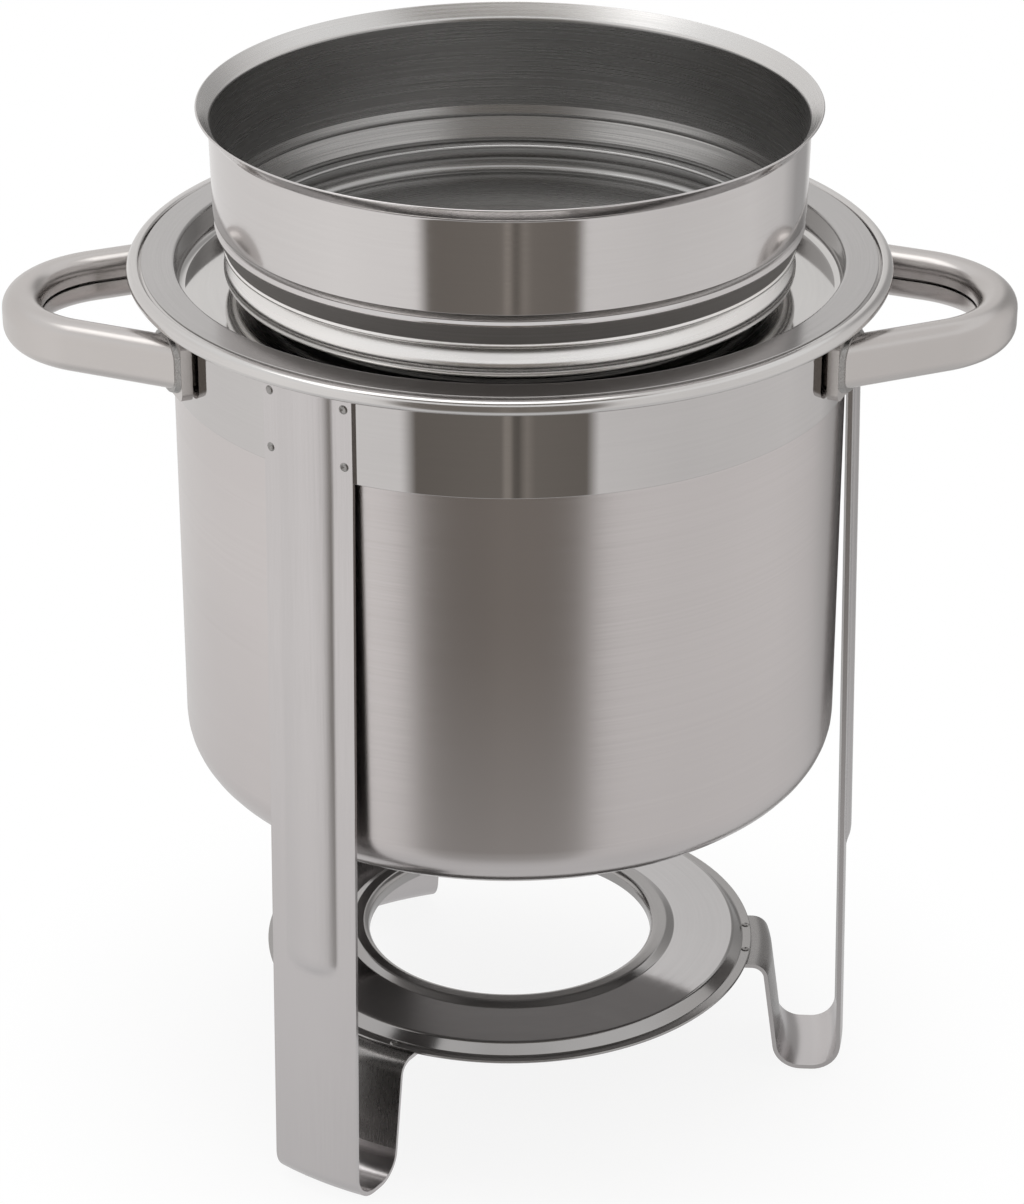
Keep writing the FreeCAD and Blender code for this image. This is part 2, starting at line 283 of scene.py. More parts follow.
@dataclass(frozen=True)
class SteelFinish:
    """One finish of the steel.

    Attributes:
        name: the material's name.
        colour: its colour at the lightest.
        smoothest: its roughness along the brightest lines.
        roughest: its roughness along the dullest lines.
        grain: the way that its lines run.
        across: lines in a metre across the grain.
        along: patches in a metre along the grain.
        depth: how strongly the lines stand out.
        tone: the share by which its colour varies.
        smudge: the share by which broad patches vary.
        stretch: how far the grain stretches a reflection.
    """

    name: str
    colour: Colour
    smoothest: float
    roughest: float
    grain: Grain
    across: float
    along: float
    depth: float
    tone: float
    smudge: float
    stretch: float = 0.0

    def grain_vector(self, graph: NodeGraph) -> bpy.types.NodeSocket:
        """Coordinates that are long along the grain and short across it.

        Args:
            graph: the material's nodes.

        Returns:
            The coordinates' socket.
        """
        place = graph.add("ShaderNodeTexCoord").outputs["Object"]
        parts = graph.add("ShaderNodeSeparateXYZ")
        graph.join(place, parts.inputs[0])
        x, y, z = parts.outputs
        flat = self.across if self.grain in (Grain.UPRIGHT, Grain.FINE) else self.along
        tall = self.along if self.grain is Grain.UPRIGHT else self.across
        if self.grain is Grain.ROUND:
            x_square, y_square = (graph.sum("MULTIPLY", part, part) for part in (x, y))
            square = graph.sum("ADD", x_square, y_square)
            z = graph.sum("ADD", graph.sum("SQRT", square), z)
        vector = graph.add("ShaderNodeCombineXYZ")
        for index, (source, scale) in enumerate(((x, flat), (y, flat), (z, tall))):
            graph.join(graph.sum("MULTIPLY", source, scale), vector.inputs[index])
        return vector.outputs[0]

    def material(self) -> bpy.types.Material:
        """Makes the finish's material, or finds it if it has been made.

        Returns:
            The material.
        """
        if self.name in bpy.data.materials:
            return bpy.data.materials[self.name]
        material = bpy.data.materials.new(self.name)
        material.use_nodes = True
        graph = NodeGraph(material.node_tree)
        shader = graph.add("ShaderNodeBsdfPrincipled")
        output = graph.add("ShaderNodeOutputMaterial")
        graph.join(shader.outputs[0], output.inputs["Surface"])
        lines = graph.noise(self.grain_vector(graph), 1.0, LINE_DETAIL, LINE_WEIGHT)
        place = graph.add("ShaderNodeTexCoord").outputs["Object"]
        broad = graph.noise(place, PATCH_SCALE, PATCH_DETAIL, PATCH_WEIGHT)
        light = graph.spread(lines, NOISE_LOW, NOISE_HIGH, 1.0 - self.tone, 1.0)
        patch = graph.spread(broad, NOISE_LOW, NOISE_HIGH, 1.0 - self.smudge, 1.0)
        level = graph.sum("MULTIPLY", light, patch)
        graph.join(graph.mix(level, BLACK, (*self.colour, 1.0)), shader.inputs["Base Color"])
        graph.join(1.0, shader.inputs["Metallic"])
        rough = graph.spread(lines, NOISE_LOW, NOISE_HIGH, self.roughest, self.smoothest)
        dulling = graph.spread(broad, NOISE_LOW, NOISE_HIGH, self.smudge * SMUDGE_DULLING, 0.0)
        graph.join(graph.sum("ADD", rough, dulling), shader.inputs["Roughness"])
        graph.join(self.stretch, shader.inputs["Anisotropic"])
        if self.stretch:
            tangent = graph.add("ShaderNodeTangent", direction_type="RADIAL", axis="Z")
            graph.join(tangent.outputs[0], shader.inputs["Tangent"])
        if self.depth:
            bump = graph.add("ShaderNodeBump")
            graph.join(self.depth, bump.inputs["Strength"])
            graph.join(LINE_DEPTH * MM, bump.inputs["Distance"])
            graph.join(lines, bump.inputs["Height"])
            graph.join(bump.outputs[0], shader.inputs["Normal"])
        return material


BRUSHED = SteelFinish(
    "brushed_kettle_steel", (0.6, 0.57, 0.565), smoothest=0.19, roughest=0.235,
    grain=Grain.ROUND, across=2400, along=3, depth=0.03, tone=0.025, smudge=0.03, stretch=0.55,
)
# Painted shade: the underside's dark colour stands for the shade under the kettle; its roughness
# is its own.
KETTLE_UNDERSIDE_SHADE = SteelFinish(
    "kettle_underside_painted_shade", (0.3, 0.29, 0.285), smoothest=0.3, roughest=0.42,
    grain=Grain.ROUND, across=1800, along=12, depth=0.1, tone=0.1, smudge=0.08, stretch=0.3,
)
KETTLE_INSIDE = SteelFinish(
    "dull_kettle_inside", (0.56, 0.55, 0.54), smoothest=0.24, roughest=0.36,
    grain=Grain.ROUND, across=1800, along=12, depth=0.2, tone=0.12, smudge=0.08, stretch=0.5,
)
RIM_STEEL = SteelFinish(
    "satin_rim_steel", (0.66, 0.645, 0.635), smoothest=0.12, roughest=0.18,
    grain=Grain.ROUND, across=2600, along=18, depth=0.05, tone=0.04, smudge=0.04, stretch=0.3,
)
PAN_WALL = SteelFinish(
    "polished_pan_wall", (0.62, 0.6, 0.595), smoothest=0.08, roughest=0.11,
    grain=Grain.ROUND, across=900, along=20, depth=0.0, tone=0.02, smudge=0.03,
)
POLISHED = SteelFinish(
    "polished_steel", (0.56, 0.545, 0.54), smoothest=0.035, roughest=0.06,
    grain=Grain.ROUND, across=900, along=20, depth=0.0, tone=0.02, smudge=0.04,
)
# Painted shade: the cove's dark colour stands for the shade where it sits down in the tray; its
# roughness is its own.
PAN_COVE_SHADE = SteelFinish(
    "pan_cove_painted_shade", (0.34, 0.325, 0.315), smoothest=0.6, roughest=0.66,
    grain=Grain.ROUND, across=1400, along=12, depth=0.05, tone=0.06, smudge=0.04,
)
# Painted light: the foot's pale colour, lighter than the other steel, stands for the light on it;
# its satin roughness is its own.
PAN_FOOT_LIGHT = SteelFinish(
    "pan_foot_painted_light", (0.86, 0.845, 0.83), smoothest=0.22, roughest=0.3,
    grain=Grain.ROUND, across=1400, along=12, depth=0.03, tone=0.04, smudge=0.04, stretch=0.3,
)
PAN_BRIM = SteelFinish(
    "satin_pan_brim", (0.7, 0.69, 0.68), smoothest=0.22, roughest=0.32,
    grain=Grain.ROUND, across=1400, along=10, depth=0.1, tone=0.06, smudge=0.04, stretch=0.4,
)
PAN_INSIDE = SteelFinish(
    "brushed_pan_inside", (0.5, 0.495, 0.49), smoothest=0.2, roughest=0.36,
    grain=Grain.ROUND, across=1100, along=9, depth=0.6, tone=0.3, smudge=0.06, stretch=0.5,
)
SATIN_FLANGE = SteelFinish(
    "satin_flange_steel", (0.51, 0.5, 0.495), smoothest=0.14, roughest=0.22,
    grain=Grain.ROUND, across=2600, along=18, depth=0.1, tone=0.06, smudge=0.05, stretch=0.4,
)
TRAY_MIRROR = SteelFinish(
    "bright_tray_steel", (0.66, 0.65, 0.64), smoothest=0.05, roughest=0.09,
    grain=Grain.ROUND, across=900, along=20, depth=0.0, tone=0.03, smudge=0.05,
)
# Painted shade: the wall's dark colour stands for the shade under the food pan.
TRAY_WALL_SHADE = SteelFinish(
    "tray_wall_painted_shade", (0.36, 0.35, 0.345), smoothest=0.08, roughest=0.14,
    grain=Grain.ROUND, across=900, along=20, depth=0.0, tone=0.03, smudge=0.05,
)
RING_MIRROR = SteelFinish(
    "polished_ring_steel", (0.58, 0.57, 0.57), smoothest=0.04, roughest=0.08,
    grain=Grain.ROUND, across=900, along=20, depth=0.0, tone=0.03, smudge=0.06,
)
# Painted reflection: the lip, skirt and rim are darkened to stand for the kettle's dark underside
# mirrored in them.
RING_EDGE_REFLECTION = SteelFinish(
    "ring_edge_painted_reflection", (0.4, 0.39, 0.385), smoothest=0.14, roughest=0.2,
    grain=Grain.ROUND, across=900, along=20, depth=0.0, tone=0.03, smudge=0.06,
)
SATIN_LEG = SteelFinish(
    "satin_leg_steel", (0.575, 0.555, 0.555), smoothest=0.2, roughest=0.27,
    grain=Grain.UPRIGHT, across=1500, along=10, depth=0.0, tone=0.02, smudge=0.03,
)
# Painted shade: the back of each upright, facing the kettle, is darkened as the shade between leg
# and kettle.
LEG_BACK_SHADE = SteelFinish(
    "leg_back_painted_shade", (0.34, 0.33, 0.325), smoothest=0.24, roughest=0.32,
    grain=Grain.UPRIGHT, across=1500, along=10, depth=0.0, tone=0.05, smudge=0.05,
)
SATIN_HANDLE = SteelFinish(
    "satin_handle_steel", (0.57, 0.545, 0.53), smoothest=0.24, roughest=0.255,
    grain=Grain.FINE, across=900, along=900, depth=0.0, tone=0.01, smudge=0.03,
)
WELD_METAL = SteelFinish(
    "weld_steel", (0.4, 0.39, 0.38), smoothest=0.2, roughest=0.4,
    grain=Grain.FINE, across=1500, along=1500, depth=0.5, tone=0.3, smudge=0.1,
)
BASE_METAL = SteelFinish(
    "base_disc_metal", (0.42, 0.42, 0.42), smoothest=0.3, roughest=0.45,
    grain=Grain.ROUND, across=900, along=20, depth=0.3, tone=0.2, smudge=0.1,
)


@dataclass(frozen=True)
class Bend:
    """A place on a sheet's middle line, in millimetres.

    Attributes:
        radius: its distance from the kettle's axis.
        height: its height above the floor.
        bend: the bend's radius there, 0 where the line starts, ends or has a crease.
    """

    radius: float
    height: float
    bend: float = 0.0

    @property
    def place(self) -> Vector:
        """The place in metres, in the plane of X and Z."""
        return Vector((self.radius, 0, self.height)) * MM


def rounded_line(mesh: bmesh.types.BMesh, bends: Sequence[Bend]) -> None:
    """Draws a sheet's middle line with its bends rounded.

    A bend has fewer edges where they would be too short, and stays a crease where none fits.

    Args:
        mesh: the mesh to draw in.
        bends: the line's places in order.
    """
    places = [bend.place for bend in bends]
    verts = [mesh.verts.new(place) for place in places]
    for first, second in zip(verts, verts[1:]):
        mesh.edges.new((first, second))
    for index in range(1, len(bends) - 1):
        before = places[index] - places[index - 1]
        after = places[index + 1] - places[index]
        angle = before.angle(after)
        fitting = int(bends[index].bend * angle / SHORTEST_EDGE)
        if fitting:
            reach = bends[index].bend * MM * math.tan(angle / 2)
            segments = min(BEND_SEGMENTS, max(FEWEST_SEGMENTS, fitting))
            bmesh.ops.bevel(mesh, geom=[verts[index]], offset=reach * BEND_SHARE,
                            offset_type="OFFSET", segments=segments, profile=0.5,
                            affect="VERTICES", material=-1)


def turn(mesh: bmesh.types.BMesh, angle: float) -> None:
    """Turns a mesh about the kettle's axis by an angle in radians."""
    bmesh.ops.rotate(mesh, verts=mesh.verts, cent=(0, 0, 0), matrix=Matrix.Rotation(angle, 3, "Z"))


def verts_of(geometry: Sequence[object]) -> list[bmesh.types.BMVert]:
    """The vertices among an operator's results, in order."""
    return [item for item in geometry if isinstance(item, bmesh.types.BMVert)]


def edges_of(geometry: Sequence[object]) -> list[bmesh.types.BMEdge]:
    """The edges among an operator's results, in order."""
    return [item for item in geometry if isinstance(item, bmesh.types.BMEdge)]


def settled(mesh: bmesh.types.BMesh) -> None:
    """Merges a mesh's doubles and points its faces one way."""
    bmesh.ops.remove_doubles(mesh, verts=mesh.verts, dist=MERGE_REACH * MM)
    bmesh.ops.recalc_face_normals(mesh, faces=mesh.faces)


@dataclass
class Piece:
    """A finished piece of the kettle.

    Attributes:
        name: the object's name.
        body: the body that it rides on.
        nodes: the frame's nodes that it stands for.
        slot: a name for a material slot; it is not used.
        finishes: its finishes, in the order of its material indices.
    """

    name: str
    body: Body
    nodes: tuple[str, ...]
    slot: str
    finishes: tuple[SteelFinish, ...]

    def show(self, mesh: bmesh.types.BMesh, thickness: float = 0.0, edge: float = 0.0,
             inner_finish: int = 0) -> None:
        """Turns a mesh into the finished piece.

        Args:
            mesh: a sheet's middle surface, or a closed mesh. It is used up.
            thickness: the sheet's thickness in millimetres, half of it on each side.
            edge: how far the sheet's edges are rounded, in millimetres.
            inner_finish: material steps between the sheet's front and its back.
        """
        for face in mesh.faces:
            face.smooth = True
        data = bpy.data.meshes.new(self.name)
        mesh.to_mesh(data)
        mesh.free()
        for finish in self.finishes:
            data.materials.append(finish.material())
        piece = bpy.data.objects.new(self.name, data)
        bpy.context.scene.collection.objects.link(piece)
        if thickness:
            wall = piece.modifiers.new("sheet", "SOLIDIFY")
            wall.thickness = thickness * MM
            wall.offset = 0.0
            wall.use_even_offset = True
            wall.material_offset = inner_finish
        if edge:
            rounding = piece.modifiers.new("edges", "BEVEL")
            rounding.width = edge * MM
            rounding.segments = EDGE_SEGMENTS
            rounding.limit_method = "ANGLE"
            rounding.angle_limit = EDGE_ANGLE
        weigh = piece.modifiers.new("shading", "WEIGHTED_NORMAL")
        weigh.weight = NORMAL_WEIGHT
        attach(piece, self.body.value)
        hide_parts(*self.nodes)
        log.info("%s: %d faces on %s", self.name, len(data.polygons), self.body.value)


@dataclass
class SpunSheet:
    """A sheet of even thickness turned right round the kettle's axis.

    Attributes:
        piece: what the sheet becomes.
        bends: its middle line.
        thickness: its thickness in millimetres.
        inner_finish: material steps from its front to its back.
        steps: faces round it.
    """

    piece: Piece
    bends: tuple[Bend, ...]
    thickness: float
    inner_finish: int = 0
    steps: int = 192

    def build(self, region: Callable[[Vector], int] | None = None) -> None:
        """Spins the line and dresses the sheet.

        Args:
            region: gives the material index of a face from its middle in millimetres.
        """
        mesh = bmesh.new()
        rounded_line(mesh, self.bends)
        bmesh.ops.spin(mesh, geom=mesh.verts[:] + mesh.edges[:], cent=(0, 0, 0), axis=UP,
                       dvec=(0, 0, 0), angle=math.tau, steps=self.steps, use_merge=True,
                       use_duplicate=False)
        settled(mesh)
        mesh.normal_update()
        centres = {face: face.calc_center_median() for face in mesh.faces}
        widest = max(mesh.faces, key=lambda face: centres[face].xy.length - centres[face].z)
        centre = centres[widest]
        if widest.normal.dot(Vector((centre.x, centre.y, 0)).normalized() - UP) < 0:
            bmesh.ops.reverse_faces(mesh, faces=mesh.faces)
        if region:
            for face in mesh.faces:
                face.material_index = region(face.calc_center_median() / MM)
        edge = self.thickness * EDGE_SHARE
        self.piece.show(mesh, self.thickness, edge, self.inner_finish)


@dataclass
class Kettle:
    """The deep vessel with its rolled rim.

    Attributes:
        radius: outside of the wall.
        seat: height of the rim's upper face.
        depth: from the rim down to the underside.
        corner: outside radius of the bottom corner.
        sheet: thickness.
        overhang: from the wall out to the rim's edge.
        roll: outside radius of the rolled edge.
        bead: height of the rolled edge above the flat rim.
        roll_end: how far the rolled edge runs in underneath.
        rim_bend: bend between the wall and the rim.
        groove_width: width of the groove inside the rolled edge.
        groove_depth: depth of that groove.
        groove_bend: bends of that groove.
        rise_start: from the roll in to where its rise starts.
        rise_width: width of that rise.
        finish_margin: how far outside the wall the rim's finish starts.
    """

    radius: float = 133.0
    seat: float = 361.0
    depth: float = 216.5
    corner: float = 22.0
    sheet: float = 0.8
    overhang: float = 17.0
    roll: float = 3.0
    bead: float = 0.7
    roll_end: float = 1.6
    rim_bend: float = 1.4
    groove_width: float = 1.6
    groove_depth: float = 1.0
    groove_bend: float = 0.6
    rise_start: float = 2.0
    rise_width: float = 1.0
    finish_margin: float = 0.5

    @property
    def crease(self) -> float:
        """Where the flat rim meets the rise of the rolled edge."""
        return self.radius + self.overhang - self.roll - self.rise_start

    def build(self) -> None:
        """Makes the vessel."""
        half = self.sheet / 2
        wall = self.radius - half
        bottom = self.seat - self.depth + half
        roll = self.roll - half
        crown = self.seat + self.bead - half
        edge = self.radius + self.overhang - half
        rim = self.seat - half
        bends = (
            Bend(0, bottom),
            Bend(wall, bottom, self.corner - half),
            Bend(wall, rim, self.rim_bend),
            Bend(self.crease - self.groove_width, rim, self.groove_bend),
            Bend(self.crease, rim - self.groove_depth, self.groove_bend),
            Bend(self.crease + self.rise_width, crown, self.groove_bend),
            Bend(edge, crown, roll),
            Bend(edge, crown - 2 * roll, roll),
            Bend(edge - roll - self.roll_end, crown - 2 * roll),
        )
        outside = (BRUSHED, RIM_STEEL, KETTLE_UNDERSIDE_SHADE)
        inside = (KETTLE_INSIDE, RIM_STEEL, KETTLE_INSIDE)
        piece = Piece("kettle_vessel", Body.KETTLE, ("kettle_body",), "brushed_steel",
                      outside + inside)
        SpunSheet(piece, bends, self.sheet, len(outside)).build(self.region)

    def region(self, place: Vector) -> int:
        """The finish of a face: brushed wall, satin rim or rougher underside painted dark as
        shade.

        Args:
            place: the face's middle in millimetres.

        Returns:
            The material index.
        """
        if place.z < self.seat - self.depth + 2 * self.sheet:
            return KettleFace.UNDERSIDE
        past_wall = place.xy.length > self.radius + self.finish_margin
        return KettleFace.RIM if past_wall else KettleFace.WALL


@dataclass
class Tray:
    """The shallow tray whose flange lies on the kettle's rim.

    Attributes:
        wall: outside radius of its wall.
        seat: height of its flange's underside.
        depth: from the flange's upper face to the floor's.
        flange: outside radius of the flange.
        sheet: thickness.
        floor_bend: bend between the floor and the wall.
        flange_bend: bend between the wall and the flange.
    """

    wall: float = 131.7
    seat: float = 361.0
    depth: float = 12.5
    flange: float = 144.2
    sheet: float = 0.7
    floor_bend: float = 4.0
    flange_bend: float = 1.3

    def build(self) -> None:
        """Makes the tray."""
        half = self.sheet / 2
        floor = self.seat + self.sheet - self.depth - half
        wall = self.wall - half
        bends = (
            Bend(0, floor),
            Bend(wall, floor, self.floor_bend),
            Bend(wall, self.seat + half, self.flange_bend),
            Bend(self.flange, self.seat + half),
        )
        piece = Piece("water_tray_sheet", Body.TRAY, ("water_tray",), "satin_flange",
                      (TRAY_MIRROR, TRAY_WALL_SHADE, SATIN_FLANGE))
        SpunSheet(piece, bends, self.sheet).build(self.region)

    def region(self, place: Vector) -> int:
        """The finish of a face: bright floor, wall with painted shade, or satin flange.

        Args:
            place: the face's middle in millimetres.

        Returns:
            The material index.
        """
        floor = self.seat + self.sheet - self.depth
        if place.xy.length > self.wall:
            return TrayFace.FLANGE
        return TrayFace.WALL if place.z > floor + 2 * self.sheet else TrayFace.FLOOR


@dataclass
class FoodPan:
    """The shallow pan with a flared brim and a stepped foot.

    Attributes:
        radius: outside of its wall at the shoulder.
        bottom: height of its underside.
        height: from the underside to the brim's edge.
        taper: how much wider the wall is at the brim.
        brim_width: how far the brim flares out.
        brim_height: how tall the flare is.
        foot_inset: how far the foot is set in from the wall.
        foot_height: from the underside to the bead.
        bead: size of the bead over the foot.
        cove: from the bead to the shoulder.
        shoulder: height of the shoulder.
        cove_bend: bends at the cove's lower end and at the shoulder's top.
        ledge: width of the ledge between the cove and the shoulder.
        ledge_inset: how far the ledge's edge is set in from the wall.
        ledge_drop: how far the ledge's edge lies under the cove's top.
        ledge_rise: how far the ledge's inner end lies over it.
        ledge_edge_bend: bend at the ledge's edge.
        ledge_inner_bend: bend at the ledge's inner end.
        ledge_margin: how far under the cove's top the wall's finish starts.
        foot_corner: bend at the foot's bottom.
        foot_slope: how far the foot slopes in under the bead.
        slope_start: height over the underside where that slope starts.
        slope_bend: bend where it starts.
        neck: how far under the bead it ends.
        neck_bend: bend where it ends.
        bead_bend: bend of the bead's edge.
        sheet: thickness.
        base_radius: radius of the disc under the pan.
        base_height: thickness of that disc.
        base_sides: sides of that disc.
        base_edge: how far that disc's lower edge is rounded.
        base_edge_steps: faces across that rounding.
        outside: the finishes of its foot, cove, wall and brim on the outside, with painted light
            on the foot and painted shade on the cove.
        inside: the same on the inside.
    """

    radius: float = 115.6
    bottom: float = 353.7
    height: float = 70.4
    taper: float = 0.8
    brim_width: float = 5.4
    brim_height: float = 5.6
    foot_inset: float = 3.6
    foot_height: float = 13.6
    bead: float = 1.2
    cove: float = 10.4
    shoulder: float = 4.0
    cove_bend: float = 0.9
    ledge: float = 1.0
    ledge_inset: float = 0.3
    ledge_drop: float = 0.7
    ledge_rise: float = 0.66
    ledge_edge_bend: float = 0.5
    ledge_inner_bend: float = 0.45
    ledge_margin: float = 1.0
    foot_corner: float = 4.2
    foot_slope: float = 4.4
    slope_start: float = 6.2
    slope_bend: float = 3.5
    neck: float = 1.3
    neck_bend: float = 0.8
    bead_bend: float = 0.6
    sheet: float = 0.8
    base_radius: float = 98.0
    base_height: float = 4.46
    base_sides: int = 128
    base_edge: float = 1.0
    base_edge_steps: int = 3
    outside: tuple[SteelFinish, ...] = (PAN_FOOT_LIGHT, PAN_COVE_SHADE, PAN_WALL, PAN_WALL)
    inside: tuple[SteelFinish, ...] = (PAN_INSIDE, PAN_INSIDE, PAN_INSIDE, PAN_BRIM)

    def build(self) -> None:
        """Makes the pan and its base disc."""
        half = self.sheet / 2
        foot = self.radius - self.foot_inset - half
        wall = self.radius - half
        bead = self.bottom + self.foot_height
        cove_top = bead + self.cove
        brim = self.bottom + self.height - self.brim_height
        brim_radius = wall + self.taper
        ledge = wall - self.ledge_inset
        bends = (
            Bend(0, self.bottom + half),
            Bend(foot, self.bottom + half, self.foot_corner),
            Bend(foot, self.bottom + self.slope_start, self.slope_bend),
            Bend(foot - self.foot_slope, bead - self.neck, self.neck_bend),
            Bend(foot + self.bead / 2, bead, self.bead_bend),
            Bend(foot - self.bead / 2, bead + self.bead, self.cove_bend),
            Bend(ledge, cove_top - self.ledge_drop, self.ledge_edge_bend),
            Bend(ledge - self.ledge, cove_top + self.ledge_rise, self.ledge_inner_bend),
            Bend(wall, cove_top + self.shoulder, self.cove_bend),
            Bend(brim_radius, brim, self.brim_height / 2),
            Bend(brim_radius + self.brim_width - half, brim + self.brim_height),
        )
        piece = Piece("food_pan_sheet", Body.FOOD_PAN, ("food_pan",), "polished_pan",
                      self.outside + self.inside)
        SpunSheet(piece, bends, self.sheet, len(self.outside)).build(self.region)
        self.build_base()

    def region(self, place: Vector) -> int:
        """The finish of a face: foot with painted light, cove with painted shade, wall or brim.

        Args:
            place: the face's middle in millimetres.

        Returns:
            The material index on the pan's outside.
        """
        bead = self.bottom + self.foot_height
        cove_end = bead + self.cove - self.ledge_margin
        wall_end = self.bottom + self.height - self.brim_height
        tops = (bead + self.bead, cove_end, wall_end)
        return sum(place.z > top for top in tops)

    def build_base(self) -> None:
        """Makes the disc under the pan."""
        mesh = bmesh.new()
        middle = (self.bottom - self.base_height / 2) * MM
        bmesh.ops.create_cone(mesh, cap_ends=True, segments=self.base_sides,
                              radius1=self.base_radius * MM, radius2=self.base_radius * MM,
                              depth=self.base_height * MM, matrix=Matrix.Translation(UP * middle))
        low = [edge for edge in mesh.edges if all(vert.co.z < middle for vert in edge.verts)]
        bmesh.ops.bevel(mesh, geom=low, offset=self.base_edge * MM,
                        segments=self.base_edge_steps, profile=0.5, affect="EDGES", material=-1)
        piece = Piece("food_pan_base_disc", Body.FOOD_PAN, ("food_pan_base",), "base_disc",
                      (BASE_METAL,))
        piece.show(mesh)


@dataclass
class Collar:
    """The polished band of the stand with its top edge turned out.

    Attributes:
        inner: inside radius.
        top: height of the turned-out edge's upper face.
        height: height of the band.
        lip: outside radius of the turned-out edge.
        lip_bend: bend between the band and that edge.
        sheet: thickness.
    """

    inner: float = 134.2
    top: float = 360.2
    height: float = 43.2
    lip: float = 141.0
    lip_bend: float = 1.2
    sheet: float = 1.0

    def build(self) -> None:
        """Makes the band."""
        half = self.sheet / 2
        bends = (
            Bend(self.inner + half, self.top - self.height),
            Bend(self.inner + half, self.top - half, self.lip_bend),
            Bend(self.lip, self.top - half),
        )
        piece = Piece("collar_band", Body.STAND, ("stand_collar",), "polished_collar",
                      (POLISHED,))
        SpunSheet(piece, bends, self.sheet).build()


@dataclass
class FuelRing:
    """The dished ring that holds a burner.

    Attributes:
        height: underside of its flat rim.
        hole: radius of its hole.
        sheet: thickness.
        dish_rise: height of the dish over the flat rim.
        lip_rise: height of the lip round the hole over the dish.
        lip_drop: how far the lip turns down into the hole.
        lip_bend: bend of the lip into the hole.
        bend: the other bends.
        lip_end: from the hole out to where the lip's top ends.
        dish_start: from the hole out to where the dish starts.
        dish_end: from the hole out to where the dish ends.
        skirt_end: from the hole out to where the skirt round the dish ends.
        rim_end: from the hole out to the ring's edge.
        bright_start: from the hole out to where the dish's finish starts.
        bright_end: from the hole out to where the dish's finish ends.
    """

    height: float = 51.0
    hole: float = 59.7
    sheet: float = 1.2
    dish_rise: float = 4.3
    lip_rise: float = 1.9
    lip_drop: float = 5.6
    lip_bend: float = 2.4
    bend: float = 1.5
    lip_end: float = 6.2
    dish_start: float = 9.2
    dish_end: float = 34.3
    skirt_end: float = 38.3
    rim_end: float = 42.5
    bright_start: float = 9.8
    bright_end: float = 33.8

    def build(self) -> None:
        """Makes the ring."""
        half = self.sheet / 2
        rim = self.height + half
        flat = rim + self.dish_rise
        lip = flat + self.lip_rise
        hole = self.hole + half
        bends = (
            Bend(hole, lip - self.lip_drop),
            Bend(hole, lip, self.lip_bend),
            Bend(hole + self.lip_end, lip, self.bend),
            Bend(hole + self.dish_start, flat, self.bend),
            Bend(hole + self.dish_end, flat, self.bend),
            Bend(hole + self.skirt_end, rim, self.bend),
            Bend(hole + self.rim_end, rim),
        )
        piece = Piece("fuel_ring_sheet", Body.STAND, ("fuel_ring",), "polished_ring",
                      (RING_MIRROR, RING_EDGE_REFLECTION))
        SpunSheet(piece, bends, self.sheet).build(self.region)

    def region(self, place: Vector) -> int:
        """The finish of a face: bright dish, or the lip, skirt and rim, darkened as a painted
        reflection.

        Args:
            place: the face's middle in millimetres.

        Returns:
            The material index.
        """
        past_hole = place.xy.length - self.hole - self.sheet / 2
        bright = self.bright_start < past_hole < self.bright_end
        return RingFace.DISH if bright else RingFace.EDGE


